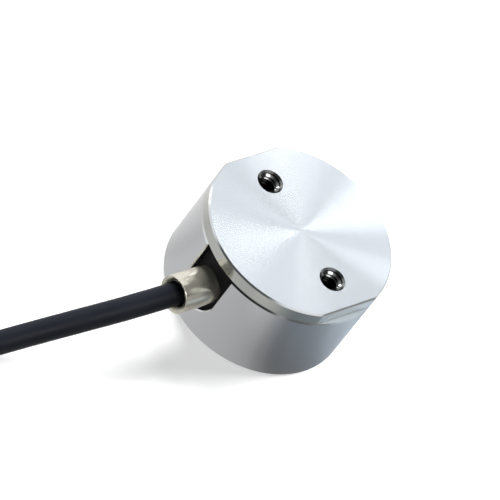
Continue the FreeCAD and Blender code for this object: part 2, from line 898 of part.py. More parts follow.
def write():
    """Writes each sub-part to its own file."""
    os.makedirs("parts", exist_ok=True)
    for part in sub_parts:
        part.Shape.exportStep(f"parts/{part.Label}.step")
        print(f"{part.Label}: {len(part.Shape.Solids)} solid, {part.Shape.Volume:.2f} mm3")


build()
check()
write()
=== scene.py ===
"""Visual model of a miniature column load cell with its gland and its coiled cable."""
import logging
import math
from dataclasses import dataclass, replace
from enum import Enum
from typing import Callable, Iterable, Mapping, Sequence

import bmesh
import bpy
from mathutils import Matrix, Vector


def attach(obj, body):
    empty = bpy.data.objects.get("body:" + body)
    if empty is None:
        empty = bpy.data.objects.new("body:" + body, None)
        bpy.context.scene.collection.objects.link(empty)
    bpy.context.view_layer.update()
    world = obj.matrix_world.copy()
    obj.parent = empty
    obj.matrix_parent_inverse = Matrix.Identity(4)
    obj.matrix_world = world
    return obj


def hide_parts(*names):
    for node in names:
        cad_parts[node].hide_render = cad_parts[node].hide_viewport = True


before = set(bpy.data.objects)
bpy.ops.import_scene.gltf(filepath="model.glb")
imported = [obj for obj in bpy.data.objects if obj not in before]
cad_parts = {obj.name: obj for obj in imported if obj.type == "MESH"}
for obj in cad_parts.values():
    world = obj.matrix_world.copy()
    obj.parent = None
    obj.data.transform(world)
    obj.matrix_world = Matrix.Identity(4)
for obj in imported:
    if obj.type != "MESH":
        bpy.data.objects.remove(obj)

MM = 0.001
# Share of a normal along an axis from which its face counts as square to that axis
SQUARE = 0.999
LOG = logging.getLogger("load_cell")
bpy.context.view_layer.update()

Point = tuple[float, float, float]
Color = tuple[float, float, float]
Profile = Sequence[tuple[float, float]]
Piece = bpy.types.Object
Face = bpy.types.MeshPolygon
Socket = bpy.types.NodeSocket


class Role(Enum):
    """What a lamp is there for."""

    SHADOW = "lights the floor and the plastics, without a mirror image"
    SHEEN = "shows in the metal only"


class Bench:
    """Edit-mode tools that work on one mesh at a time. Points within FINE, in metres, count as one."""

    FINE = 2e-6

    @staticmethod
    def clear() -> None:
        """Leaves edit mode and deselects everything."""
        if bpy.context.object is not None and bpy.context.object.mode != "OBJECT":
            bpy.ops.object.mode_set(mode="OBJECT")
        bpy.ops.object.select_all(action="DESELECT")

    @classmethod
    def take(cls, piece: Piece) -> None:
        """Makes one piece the only selected and active object.

        Args:
            piece: The object to work on.
        """
        cls.clear()
        piece.select_set(True)
        bpy.context.view_layer.objects.active = piece

    @classmethod
    def edit(cls, piece: Piece) -> None:
        """Opens a piece in edit mode with everything selected.

        Args:
            piece: The object to open.
        """
        cls.take(piece)
        bpy.ops.object.mode_set(mode="EDIT")
        bpy.ops.mesh.select_mode(type="VERT")
        bpy.ops.mesh.select_all(action="SELECT")

    @staticmethod
    def close() -> None:
        """Goes back to object mode."""
        bpy.ops.object.mode_set(mode="OBJECT")

    @classmethod
    def chain(cls, name: str, points: Sequence[Point], closed: bool) -> Piece:
        """Draws a chain of edges by extruding one vertex from point to point.

        Args:
            name: Name of the new object.
            points: The chain's corners in metres.
            closed: Whether the last corner is joined to the first.

        Returns:
            The new object, in object mode.
        """
        cls.clear()
        bpy.ops.mesh.primitive_plane_add(size=MM, location=(0, 0, 0))
        piece = bpy.context.object
        piece.name = name
        piece.data.name = name
        cls.edit(piece)
        bpy.ops.mesh.merge(type="CENTER")
        bpy.ops.transform.translate(value=points[0])
        for before, after in zip(points, points[1:]):
            step = Vector(after) - Vector(before)
            bpy.ops.mesh.extrude_region_move(TRANSFORM_OT_translate={"value": step})
        if closed:
            ends = (Vector(points[0]), Vector(points[-1]))
            cls.pick_vertices(piece, lambda place: any((place - end).length < cls.FINE for end in ends))
            bpy.ops.mesh.edge_face_add()
        cls.close()
        return piece

    @classmethod
    def pick_vertices(cls, piece: Piece, test: Callable[[Vector], bool]) -> None:
        """Selects the vertices whose place passes a test, in edit mode.

        Args:
            piece: The object in edit mode.
            test: Takes the place of a vertex.
        """
        bpy.ops.mesh.select_mode(type="VERT")
        mesh = bmesh.from_edit_mesh(piece.data)
        for vertex in mesh.verts:
            vertex.select_set(test(vertex.co))
        mesh.select_flush_mode()
        bmesh.update_edit_mesh(piece.data)

    @classmethod
    def pick_edges(cls, piece: Piece, test: Callable[[Vector, Vector], bool]) -> int:
        """Selects the edges whose two ends pass a test, in edit mode.

        Args:
            piece: The object in edit mode.
            test: Takes the places of the edge's two ends.

        Returns:
            The number of edges selected.
        """
        bpy.ops.mesh.select_mode(type="EDGE")
        bpy.ops.mesh.select_all(action="DESELECT")
        mesh = bmesh.from_edit_mesh(piece.data)
        count = 0
        for edge in mesh.edges:
            if test(edge.verts[0].co, edge.verts[1].co):
                edge.select_set(True)
                count += 1
        bmesh.update_edit_mesh(piece.data)
        return count

    @classmethod
    def clean(cls, piece: Piece) -> None:
        """Merges doubled vertices and turns the faces outwards.

        Args:
            piece: The object to clean.
        """
        cls.edit(piece)
        bpy.ops.mesh.remove_doubles(threshold=cls.FINE)
        bpy.ops.mesh.select_all(action="SELECT")
        bpy.ops.mesh.normals_make_consistent(inside=False)
        cls.close()

    @classmethod
    def turned(cls, name: str, profile: Profile, steps: int, closed: bool = False) -> Piece:
        """Turns a profile about Z.

        Args:
            name: Name of the new object.
            profile: Corners as radius and height in millimetres.
            steps: Number of facets round the axis.
            closed: Whether the profile is a closed loop, as for a ring.

        Returns:
            The turned object.
        """
        points = [(radius * MM, 0.0, height * MM) for radius, height in profile]
        piece = cls.chain(name, points, closed)
        cls.edit(piece)
        bpy.ops.mesh.spin(steps=steps, angle=2 * math.pi, center=(0, 0, 0), axis=(0, 0, 1))
        cls.close()
        cls.clean(piece)
        return piece

    @classmethod
    def apply(cls, piece: Piece, kind: str, **values: object) -> None:
        """Adds a modifier with the given values and applies it.

        Args:
            piece: The object to change.
            kind: Blender's type name of the modifier.
            **values: Its properties.
        """
        cls.take(piece)
        modifier = piece.modifiers.new(kind.lower(), kind)
        for key, value in values.items():
            setattr(modifier, key, value)
        bpy.ops.object.modifier_apply(modifier=modifier.name)

    @classmethod
    def cut(cls, piece: Piece, tool: Piece) -> None:
        """Takes a tool's volume out of a piece and deletes the tool."""
        cls.apply(piece, "BOOLEAN", operation="DIFFERENCE", solver="EXACT", object=tool)
        cls.drop(tool)

    @classmethod
    def fuse(cls, piece: Piece, other: Piece) -> None:
        """Joins another piece's volume to a piece and deletes the other."""
        cls.apply(piece, "BOOLEAN", operation="UNION", solver="EXACT", object=other)
        cls.drop(other)

    @staticmethod
    def drop(piece: Piece) -> None:
        """Deletes an object with its mesh.

        Args:
            piece: The object to delete.
        """
        mesh = piece.data
        bpy.data.objects.remove(piece)
        bpy.data.meshes.remove(mesh)

    @classmethod
    def bevel(cls, piece: Piece, width: float, segments: int,
              test: Callable[[Vector, Vector], bool], clamp: bool = True) -> None:
        """Breaks the edges that pass a test.

        Args:
            piece: The object to change.
            width: Width of the bevel in millimetres.
            segments: Facets across the bevel.
            test: Takes the places of an edge's two ends, in metres.
            clamp: Whether short edges limit the width.
        """
        cls.edit(piece)
        found = cls.pick_edges(piece, test)
        if found:
            bpy.ops.mesh.bevel(offset=width * MM, segments=segments, clamp_overlap=clamp)
        cls.close()
        LOG.info("%s: %d edges broken", piece.name, found)

    @classmethod
    def settle(cls, piece: Piece) -> None:
        """Applies a piece's place and turn, so that its object sits at the origin."""
        cls.take(piece)
        bpy.ops.object.transform_apply(location=True, rotation=True, scale=True)

    @classmethod
    def smooth(cls, piece: Piece, degrees: float = 32.0) -> None:
        """Shades a piece smooth up to an angle, with its flat faces kept flat.

        Args:
            piece: The object to shade.
            degrees: Angle from which an edge stays sharp.
        """
        cls.take(piece)
        bpy.ops.object.shade_smooth_by_angle(angle=math.radians(degrees))
        cls.apply(piece, "WEIGHTED_NORMAL", keep_sharp=True, weight=100)


class Tree:
    """A shader node tree with short calls for adding and joining nodes."""

    def __init__(self, tree: bpy.types.NodeTree) -> None:
        """Keeps the tree."""
        self.tree = tree

    def add(self, kind: str, inputs: Mapping[str | int, object] | None = None, **values: object) -> bpy.types.Node:
        """Adds a node, sets its properties and fills its sockets.

        Args:
            kind: Blender's type name of the node.
            inputs: What each socket gets, by its name or number.
            **values: Properties of the node.

        Returns:
            The new node.
        """
        node = self.tree.nodes.new(kind)
        for key, value in values.items():
            setattr(node, key, value)
        self.fill(node, inputs or {})
        return node

    def fill(self, node: bpy.types.Node, inputs: Mapping[str | int, object]) -> None:
        """Fills sockets of a node, each with a value or with another node's socket.

        Args:
            node: The node to fill.
            inputs: What each socket gets, by its name or number.
        """
        for place, value in inputs.items():
            if isinstance(value, Socket):
                self.tree.links.new(value, node.inputs[place])
            else:
                node.inputs[place].default_value = value

    def math(self, operation: str, a: object, b: object = 0.0) -> Socket:
        """A sum of two values, each a number or a socket.

        Args:
            operation: Name of the operation.
            a: First value.
            b: Second value.

        Returns:
            The socket of the result.
        """
        return self.add("ShaderNodeMath", {0: a, 1: b}, operation=operation).outputs[0]

    def vector(self, operation: str, a: object, b: object = (0.0, 0.0, 0.0)) -> Socket:
        """A sum of two vectors, each three numbers or a socket.

        Args:
            operation: Name of the operation.
            a: First vector.
            b: Second vector.

        Returns:
            The socket of the result, which is a number for a length or a dot product.
        """
        node = self.add("ShaderNodeVectorMath", {0: a, 1: b}, operation=operation)
        return node.outputs["Value" if operation in ("LENGTH", "DOT_PRODUCT") else "Vector"]

    def ramp(self, value: Socket, low: float, high: float, ends: tuple[float, float] = (0.0, 1.0),
             smooth: bool = False) -> Socket:
        """A value that goes from one end to the other between two limits.

        Args:
            value: What is compared with the limits.
            low: Lower limit.
            high: Upper limit.
            ends: Results at the two limits.
            smooth: Whether it eases in and out.

        Returns:
            The socket of the result.
        """
        inputs = {"Value": value, "From Min": low, "From Max": high, "To Min": ends[0], "To Max": ends[1]}
        node = self.add("ShaderNodeMapRange", inputs, interpolation_type="SMOOTHSTEP" if smooth else "LINEAR")
        return node.outputs["Result"]

    def noise(self, place: Socket, scale: object, detail: float,
              line: bool = False) -> Socket:
        """Soft noise in space or along a line.

        Args:
            place: Point in space, or the number along the line.
            scale: Scale of the noise, a number or a socket.
            detail: How fine it gets.
            line: Whether the noise runs along a line.

        Returns:
            The socket of the noise.
        """
        inputs = {"W" if line else "Vector": place, "Scale": scale, "Detail": detail}
        return self.add("ShaderNodeTexNoise", inputs, noise_dimensions="1D" if line else "3D").outputs["Fac"]

    def blend(self, share: Socket, first: Color, second: Color) -> Socket:
        """Mixes two colours.

        Args:
            share: Share of the second colour.
            first: First colour.
            second: Second colour.

        Returns:
            The socket of the mixed colour.
        """
        mix = self.add("ShaderNodeMix", data_type="RGBA")
        sockets = {socket.identifier: socket for socket in (*mix.inputs, *mix.outputs)}
        sockets["A_Color"].default_value = (*first, 1.0)
        sockets["B_Color"].default_value = (*second, 1.0)
        self.tree.links.new(share, sockets["Factor_Float"])
        return sockets["Result_Color"]


class Effects:
    """Node groups that several finishes share."""

    FLOAT = "NodeSocketFloat"
    VECTOR = "NodeSocketVector"

    @staticmethod
    def group(name: str, inputs: Iterable[tuple[str, str, float | None]],
              outputs: Iterable[tuple[str, str]]) -> tuple[Tree, bpy.types.Node, bpy.types.Node]:
        """Makes an empty group with its sockets.

        Args:
            name: Name of the group.
            inputs: Name, kind and starting value of each input.
            outputs: Name and kind of each output.

        Returns:
            The group's tree, its input node and its output node.
        """
        made = bpy.data.node_groups.new(name, "ShaderNodeTree")
        for label, kind, value in inputs:
            socket = made.interface.new_socket(label, in_out="INPUT", socket_type=kind)
            if value is not None:
                socket.default_value = value
        for label, kind in outputs:
            made.interface.new_socket(label, in_out="OUTPUT", socket_type=kind)
        tree = Tree(made)
        return tree, tree.add("NodeGroupInput"), tree.add("NodeGroupOutput")

    @classmethod
    def handling(cls) -> bpy.types.NodeTree:
        """Soft smudges and fine specks of a surface that has been handled.

        Returns:
            The group, with a mask and a height.
        """
        if "handling_marks" in bpy.data.node_groups:
            return bpy.data.node_groups["handling_marks"]
        tree, given, result = cls.group(
            "handling_marks",
            [("Vector", cls.VECTOR, None), ("Smudge Scale", cls.FLOAT, 160.0), ("Speck Scale", cls.FLOAT, 2600.0)],
            [("Smudge", cls.FLOAT), ("Height", cls.FLOAT)],
        )
        place = given.outputs["Vector"]
        smudge = tree.noise(place, given.outputs["Smudge Scale"], detail=4.0)
        speck = tree.noise(place, given.outputs["Speck Scale"], detail=3.0)
        tree.fill(result, {"Smudge": tree.ramp(smudge, low=0.35, high=0.7), "Height": speck})
        return tree.tree

    @classmethod
    def rings(cls) -> bpy.types.NodeTree:
        """Concentric tool marks about the Z axis.

        Returns:
            The group, with a height that changes with the distance from the axis and a mask of rays.
        """
        if "turning_rings" in bpy.data.node_groups:
            return bpy.data.node_groups["turning_rings"]
        tree, given, result = cls.group(
            "turning_rings",
            [("Vector", cls.VECTOR, None), ("Feed", cls.FLOAT, 9000.0)],
            [("Height", cls.FLOAT), ("Ray", cls.FLOAT)],
        )
        flat = tree.vector("MULTIPLY", given.outputs["Vector"], (1.0, 1.0, 0.0))
        phase = tree.math("MULTIPLY", tree.vector("LENGTH", flat), given.outputs["Feed"])
        height = tree.noise(phase, scale=1.0, detail=2.0, line=True)
        ray = tree.noise(tree.vector("NORMALIZE", flat), scale=9.0, detail=5.0)
        tree.fill(result, {"Height": height, "Ray": ray})
        return tree.tree


@dataclass(frozen=True)
class Finish:
    """A finish with handling marks in its roughness and a fine bump.

    Attributes:
        name: Name of the material.
        color: Base colour, linear.
        metallic: 1 for bare metal.
        roughness: Roughness of the clean surface.
        smudge: Change of the roughness by smudges.
        bump: Depth of the fine bump in metres.
        speck_scale: Scale of the fine bump.
        mottle: Share by which the colour varies.
        specular: Strength of a plastic's reflections.
    """

    name: str
    color: Color
    metallic: float = 0.0
    roughness: float = 0.5
    smudge: float = 0.05
    bump: float = 0.0
    speck_scale: float = 2600.0
    mottle: float = 0.0
    specular: float = 0.5

    def material(self) -> bpy.types.Material:
        """Builds the material once and gives it out.

        Returns:
            The material.
        """
        known = bpy.data.materials.get(self.name)
        if known is not None and known.get("dressed"):
            return known
        made = bpy.data.materials.new(self.name)
        made["dressed"] = True
        made.use_nodes = True
        tree = Tree(made.node_tree)
        shader = made.node_tree.nodes["Principled BSDF"]
        place = tree.add("ShaderNodeTexCoord").outputs["Object"]
        handled = tree.add("ShaderNodeGroup", node_tree=Effects.handling())
        tree.fill(handled, {"Vector": place, "Speck Scale": self.speck_scale})
        change = tree.math("MULTIPLY", handled.outputs["Smudge"], self.smudge)
        tree.fill(shader, {
            "Base Color": (*self.color, 1.0), "Metallic": self.metallic, "Specular IOR Level": self.specular,
            "Roughness": tree.math("ADD", change, self.roughness),
        })
        if self.mottle:
            light = tuple(min(1.0, value * (1.0 + self.mottle)) for value in self.color)
            tree.fill(shader, {"Base Color": tree.blend(handled.outputs["Smudge"], self.color, light)})
        height = self.marks(tree, shader, place) or handled.outputs["Height"]
        if self.bump:
            bump = tree.add("ShaderNodeBump", {"Distance": self.bump, "Height": height})
            tree.fill(shader, {"Normal": bump.outputs["Normal"]})
        return made

    def marks(self, tree: Tree, shader: bpy.types.Node,
              place: Socket) -> Socket | None:
        """Adds what a finish has beyond the handling marks; a plain finish has nothing.

        Args:
            tree: The material's tree.
            shader: Its surface shader.
            place: Object coordinates.

        Returns:
            A height for the bump in place of the specks, or None.
        """
        return None

    def dress(self, piece: Piece) -> None:
        """Puts the finish on a whole piece."""
        piece.data.materials.clear()
        piece.data.materials.append(self.material())

    def dress_where(self, piece: Piece, test: Callable[[Face], bool]) -> None:
        """Puts the finish on the faces that pass a test, over the piece's own finish.

        Args:
            piece: The piece to dress.
            test: Takes a face.
        """
        piece.data.materials.append(self.material())
        index = len(piece.data.materials) - 1
        for face in piece.data.polygons:
            if test(face):
                face.material_index = index


@dataclass(frozen=True)
class TurnedFinish(Finish):
    """Metal faced on a lathe: rings about Z that stretch the reflections into rays.

    Attributes:
        anisotropy: Stretch of the reflections across the rings.
        turn: Turn of the stretch, 1 being a full turn.
        feed: Rings per metre.
        ray_depth: Change of the roughness from ray to ray.
    """

    anisotropy: float = 0.8
    turn: float = 0.25
    feed: float = 9000.0
    ray_depth: float = 0.04

    def marks(self, tree: Tree, shader: bpy.types.Node,
              place: Socket) -> Socket | None:
        """Adds the rings, the rays and the stretch.

        Args:
            tree: The material's tree.
            shader: Its surface shader.
            place: Object coordinates.

        Returns:
            The height of the rings.
        """
        rings = tree.add("ShaderNodeGroup", node_tree=Effects.rings())
        tree.fill(rings, {"Vector": place, "Feed": self.feed})
        tangent = tree.add("ShaderNodeTangent", direction_type="RADIAL", axis="Z")
        rough = shader.inputs["Roughness"].links[0].from_socket
        change = tree.math("MULTIPLY", rings.outputs["Ray"], self.ray_depth)
        tree.fill(shader, {
            "Anisotropic": self.anisotropy, "Anisotropic Rotation": self.turn,
            "Tangent": tangent.outputs["Tangent"], "Roughness": tree.math("ADD", rough, change),
        })
        return rings.outputs["Height"]


@dataclass(frozen=True)
class ShadedBoreFinish(Finish):
    """Metal in a tapped hole, bright at the mouth, with painted shade that darkens it with depth.

    Attributes:
        dark: Colour of the painted shade deep in the hole.
        height: Height of the upper face, the lower one being at zero, in metres.
        shade_start_depth: Depth where the painted shade begins.
        full_shade_depth: Depth where the painted shade is complete.
    """

    dark: Color = (0.004, 0.004, 0.004)
    height: float = 14.0 * MM
    shade_start_depth: float = 0.8 * MM
    full_shade_depth: float = 1.6 * MM

    def marks(self, tree: Tree, shader: bpy.types.Node,
              place: Socket) -> Socket | None:
        """Adds the painted shade, a change of colour with depth.

        Args:
            tree: The material's tree.
            shader: Its surface shader.
            place: Object coordinates.

        Returns:
            None, so that the specks give the bump.
        """
        # Painted shade: the colour darkens with depth from the nearer face, standing in for the shade inside the
        # hole
        level = tree.add("ShaderNodeSeparateXYZ", {0: place}).outputs["Z"]
        depth = tree.math("MINIMUM", level, tree.math("SUBTRACT", self.height, level))
        share = tree.ramp(depth, self.shade_start_depth, self.full_shade_depth, smooth=True)
        tree.fill(shader, {"Base Color": tree.blend(share, self.color, self.dark)})
        return None


class Finishes:
    """The finishes of this load cell, named after the record's slots where one exists."""

    TURNED = TurnedFinish("turned_steel", (0.725, 0.755, 0.782), metallic=1.0, roughness=0.21, smudge=0.02,
                          bump=5.0e-7, anisotropy=0.94)
    RIM = Finish("ground_steel", (0.58, 0.59, 0.56), metallic=1.0, roughness=0.12, bump=1.5e-7)
    EDGE = replace(RIM, name="chamfered_steel", color=(0.70, 0.70, 0.69))
    FACED = Finish("faced_steel", (0.36, 0.40, 0.42), metallic=0.35, smudge=0.06, bump=4.0e-7)
    POLISHED = replace(RIM, name="polished_steel", color=(0.66, 0.665, 0.675), roughness=0.1)
    # Painted shade: a darker steel stands in for the shade inside the tapped holes and on their thread ridges, and
    # it darkens further with depth
    SHADED_BORE = ShadedBoreFinish("tapped_steel", (0.20, 0.20, 0.195), metallic=1.0, roughness=0.12, bump=2.0e-7)
    BRASS = Finish("plated_brass", (0.66, 0.63, 0.53), metallic=0.82, roughness=0.13, smudge=0.06, bump=2.0e-7)
    RUBBER = Finish("black_rubber", (0.0035, 0.0035, 0.004), smudge=0.15, bump=8e-6, speck_scale=4000.0,
                    mottle=0.3, specular=0.16)
    JACKET = Finish("cable_jacket", (0.0046, 0.0056, 0.0082), roughness=0.42, smudge=0.1, bump=6e-6,
                    speck_scale=3000.0, mottle=0.3, specular=0.13)
    NYLON = Finish("black_nylon", (0.01, 0.01, 0.011), roughness=0.38, smudge=0.1, bump=3e-6, speck_scale=2500.0,
                   mottle=0.3, specular=0.4)
    FILM = Finish("gauge_film", (0.55, 0.30, 0.05), roughness=0.3, smudge=0.1, bump=1e-6, mottle=0.3)
    BOARD = Finish("board_laminate", (0.02, 0.13, 0.05), roughness=0.4, smudge=0.1, bump=3e-6, speck_scale=1800.0,
                   mottle=0.4)
    CHIP = Finish("chip_ceramic", (0.02, 0.02, 0.022), roughness=0.35, smudge=0.1, bump=3e-6, mottle=0.3)
    COPPER = Finish("copper_wire", (0.70, 0.62, 0.52), metallic=1.0, roughness=0.28, smudge=0.1, bump=3e-6)
    RED = Finish("core_red", (0.42, 0.012, 0.01), roughness=0.32, smudge=0.1, bump=2e-6, mottle=0.25)
    GREEN = replace(RED, name="core_green", color=(0.012, 0.16, 0.03))
    BLACK = replace(RED, name="core_black", color=(0.012, 0.012, 0.013))
    WHITE = replace(RED, name="core_white", color=(0.72, 0.72, 0.69), mottle=0.1)


def place_piece(piece: Piece, finish: Finish, *nodes: str, slot: str = "") -> None:
    """Dresses a finished piece, lets it ride and hides the solids that it stands for.

    Args:
        piece: The finished object.
        finish: Its finish.
        *nodes: The solids that it replaces.
        slot: The record's slot, where it isn't named like the finish; not used.
    """
    finish.dress(piece)
    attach(piece, "root")
    if nodes:
        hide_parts(*nodes)
    LOG.info("piece %s in %s", piece.name, finish.name)


@dataclass
class SpringElement:
    """Load plate, boss, column and foot in one piece, with its tapped holes.

    Sizes are in millimetres, and ridge_half and ridge_tip, half a ridge's width at the wall and at its tip, are
    shares of the pitch. lean holds the limits of the upper chamfer's normal, as a share straight up, and flat_lean
    its shares along X and Y beside a flat.
    """

    body_radius: float = 12.5
    height: float = 14.0
    plate: float = 1.9
    flat: float = 11.75
    boss_radius: float = 10.2
    boss_bottom: float = 10.4
    foot_radius: float = 10.48
    foot: float = 3.4
    column_radius: float = 5.2
    column_face: float = 4.0
    column_margin: float = 0.8
    edge: float = 0.06
    chamfer: float = 0.2
    lean: tuple[float, float] = (0.5, 0.9)
    flat_lean: tuple[float, float] = (0.7, 0.05)
    hole_x: float = 7.5
    thread_radius: float = 1.5
    mouth_radius: float = 1.75
    mouth_margin: float = 0.05
    plate_depth: float = 3.0
    foot_depth: float = 2.8
    drill_past: float = 0.1
    pitch: float = 0.5
    run_in: float = 0.15
    ridge_radius: float = 1.2
    ridge_bite: float = 0.02
    ridge_half: float = 0.47
    ridge_tip: float = 0.06
    seam: float = 0.03
    steps: int = 252
    hole_steps: int = 64

    def build(self) -> None:
        """Makes the body and the thread ridges of its four holes."""
        body = self.load_plate()
        Bench.fuse(body, self.turned_body())
        self.mill_column(body)
        self.drill(body)
        Bench.smooth(body)
        place_piece(body, Finishes.RIM, "spring_element", slot="turned_steel")
        Finishes.EDGE.dress_where(body, self.is_chamfer)
        Finishes.EDGE.dress_where(body, self.is_flat)
        Finishes.TURNED.dress_where(body, self.is_faced)
        # The tapped holes, and below their thread ridges, get the darker steel with painted shade
        Finishes.SHADED_BORE.dress_where(body, self.in_hole)
        for name, side in zip(("plate_threads", "base_threads"), self.hole_sides()):
            place_piece(self.ridges(name, *side), Finishes.SHADED_BORE, slot="turned_steel")

    def hole_sides(self) -> tuple[Point, Point]:
        """Face, direction and depth of the plate's holes and of the foot's."""
        return (self.height, -1.0, self.plate_depth), (0.0, 1.0, self.foot_depth)

    def is_faced(self, face: Face) -> bool:
        """True for the load face and the base, which are faced on a lathe."""
        away = min(abs(face.center.z), abs(face.center.z - self.height * MM))
        return abs(face.normal.z) > SQUARE and away < Bench.FINE

    def is_chamfer(self, face: Face) -> bool:
        """True for the round part of the plate's upper chamfer."""
        round_part = abs(face.normal.x) < self.flat_lean[0] or abs(face.normal.y) > self.flat_lean[1]
        high_up = face.center.z > (self.height - self.chamfer) * MM
        return round_part and high_up and self.lean[0] < face.normal.z < self.lean[1]

    def is_flat(self, face: Face) -> bool:
        """True for the plate's two flats."""
        return abs(face.normal.x) > SQUARE and abs(face.center.x) > (self.flat - self.edge) * MM

    def in_hole(self, face: Face) -> bool:
        """True for the walls, mouths and ends of the tapped holes."""
        away = math.hypot(abs(face.center.x) - self.hole_x * MM, face.center.y)
        return away < (self.mouth_radius + self.mouth_margin) * MM and not self.is_faced(face)

    def load_plate(self) -> Piece:
        """Cuts the round plate with its two flats and breaks its edges.

        Returns:
            The plate.
        """
        Bench.clear()
        bpy.ops.mesh.primitive_circle_add(vertices=self.steps, radius=self.body_radius * MM, fill_type="NGON",
                                          location=(0, 0, self.height * MM))
        plate = bpy.context.object
        plate.name = "load_plate_and_column"
        plate.data.name = plate.name
        Bench.settle(plate)
        Bench.edit(plate)
        for side in (1.0, -1.0):
            bpy.ops.mesh.select_all(action="SELECT")
            bpy.ops.mesh.bisect(plane_co=(side * self.flat * MM, 0, 0), plane_no=(side, 0, 0), clear_outer=True,
                                threshold=Bench.FINE)
        bpy.ops.mesh.select_all(action="SELECT")
        bpy.ops.mesh.remove_doubles(threshold=self.seam * MM)
        bpy.ops.mesh.select_all(action="SELECT")
        bpy.ops.mesh.extrude_region_move(TRANSFORM_OT_translate={"value": (0, 0, -self.plate * MM)})
        Bench.close()
        Bench.clean(plate)
        top = self.height * MM
        Bench.bevel(plate, self.chamfer, 1, lambda a, b: min(a.z, b.z) > top - Bench.FINE)
        Bench.bevel(plate, self.edge, 2, lambda a, b: max(a.z, b.z) < top - (self.plate - self.edge) * MM)
        return plate

    def turned_body(self) -> Piece:
        """Turns the foot, the column and the boss, which runs up into the plate.

        Returns:
            The turned body.
        """
        into_plate = self.height - self.plate / 2
        profile = [
            (0.0, 0.0), (self.foot_radius - self.edge, 0.0), (self.foot_radius, self.edge),
            (self.foot_radius, self.foot), (self.column_radius, self.foot),
            (self.column_radius, self.boss_bottom), (self.boss_radius, self.boss_bottom),
            (self.boss_radius, into_plate), (0.0, into_plate),
        ]
        return Bench.turned("column", profile, self.steps)

    def mill_column(self, body: Piece) -> None:
        """Mills the column's four faces, which carry the gauges.

        Args:
            body: The body to mill.
        """
        low = self.foot + self.column_margin
        high = self.boss_bottom - self.column_margin
        depth = self.boss_radius - self.column_face
        for turn in range(4):
            Bench.clear()
            bpy.ops.mesh.primitive_cube_add(size=1.0)
            tool = bpy.context.object
            tool.scale = (depth * MM, self.boss_radius * 2 * MM, (high - low) * MM)
            tool.location = ((self.column_face + depth / 2) * MM, 0, (low + high) / 2 * MM)
            Bench.settle(tool)
            tool.rotation_euler = (0, 0, turn * math.pi / 2)
            Bench.settle(tool)
            Bench.cut(body, tool)

    def drill(self, body: Piece) -> None:
        """Drills the four blind holes with their countersunk mouths.

        Args:
            body: The body to drill.
        """
        flare = self.mouth_radius - self.thread_radius
        for face, sign, depth in self.hole_sides():
            outside = face - sign * self.drill_past
            profile = [
                (0.0, face + sign * depth), (self.thread_radius, face + sign * depth),
                (self.thread_radius, face + sign * flare), (self.mouth_radius + self.drill_past, outside),
                (0.0, outside),
            ]
            for x in (self.hole_x, -self.hole_x):
                tool = Bench.turned("drill", profile, self.hole_steps)
                tool.location.x = x * MM
                Bench.settle(tool)
                Bench.cut(body, tool)

    def ridges(self, name: str, face: float, sign: float, depth: float) -> Piece:
        """Winds the thread ridges of the two holes of one face.

        Args:
            name: Name of the piece.
            face: Height of the face that the holes start from.
            sign: Direction of the holes from that face.
            depth: Depth of the holes.

        Returns:
            One object with both helices.
        """
        turns = int((depth - self.run_in) / self.pitch) - 1
        top = face + sign * self.run_in
        low = top if sign > 0 else top - (turns + 1) * self.pitch
        middle = low + self.pitch / 2
        wall = self.thread_radius + self.ridge_bite
        half, tip = self.pitch * self.ridge_half, self.pitch * self.ridge_tip
        corners = [(wall, -half), (self.ridge_radius, -tip), (self.ridge_radius, tip), (wall, half)]
        section = [(radius * MM, 0.0, (middle + rise) * MM) for radius, rise in corners]
        piece = Bench.chain(name, section, closed=True)
        Bench.apply(piece, "SCREW", axis="Z", angle=2 * math.pi, screw_offset=self.pitch * MM, iterations=turns,
                    steps=self.hole_steps, render_steps=self.hole_steps, use_merge_vertices=True,
                    merge_threshold=Bench.FINE)
        Bench.edit(piece)
        bpy.ops.mesh.select_mode(type="EDGE")
        bpy.ops.mesh.select_all(action="DESELECT")
        bpy.ops.mesh.select_non_manifold(extend=False, use_wire=False, use_boundary=True, use_multi_face=False,
                                         use_non_contiguous=False, use_verts=False)
        bpy.ops.mesh.edge_face_add()
        bpy.ops.mesh.select_all(action="SELECT")
        bpy.ops.transform.translate(value=(self.hole_x * MM, 0, 0))
        bpy.ops.mesh.duplicate_move(TRANSFORM_OT_translate={"value": (-2 * self.hole_x * MM, 0, 0)})
        Bench.close()
        Bench.clean(piece)
        Bench.smooth(piece)
        return piece


